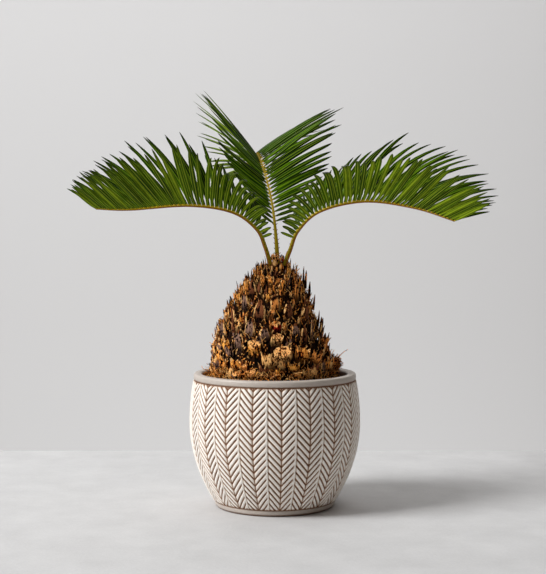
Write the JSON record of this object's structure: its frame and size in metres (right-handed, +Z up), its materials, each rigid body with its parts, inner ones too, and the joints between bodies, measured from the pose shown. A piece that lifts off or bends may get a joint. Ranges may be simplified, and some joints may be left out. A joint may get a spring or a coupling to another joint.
{
  "type": "potted sago palm",
  "caption": "Young sago palm with a bulb-shaped scaly trunk and arching feather fronds, planted in a round pale ceramic pot with a raised herringbone pattern.",
  "frame": {"origin": "centre of the pot's flat underside", "axes": "+Z up along the pot's axis, -Y towards the front, +X to the front's right; the two side fronds reach along -X and +X, the third along +Y"},
  "size_m": [0.4163, 0.2798, 0.4234],
  "materials": {
    "pot": "satin",
    "soil": "matte",
    "trunk": "matte",
    "stalk": "satin",
    "leaf": "satin"
  },
  "bodies": {
    "root": {"pot": "pot", "soil": "soil", "trunk": "trunk", "old_stalk_stub": "trunk", "left_stalk": "stalk", "left_rib_inner": "stalk", "left_rib_outer": "stalk", "left_near_blade_inner": "leaf", "left_near_blade_outer": "leaf", "left_far_blade_inner": "leaf", "left_far_blade_outer": "leaf", "right_stalk": "stalk", "right_rib_inner": "stalk", "right_rib_outer": "stalk", "right_near_blade_inner": "leaf", "right_near_blade_outer": "leaf", "right_far_blade_inner": "leaf", "right_far_blade_outer": "leaf", "back_stalk": "stalk", "back_rib_inner": "stalk", "back_rib_outer": "stalk", "back_left_blade_inner": "leaf", "back_left_blade_outer": "leaf", "back_right_blade_inner": "leaf", "back_right_blade_outer": "leaf"}
  },
  "joints": []
}
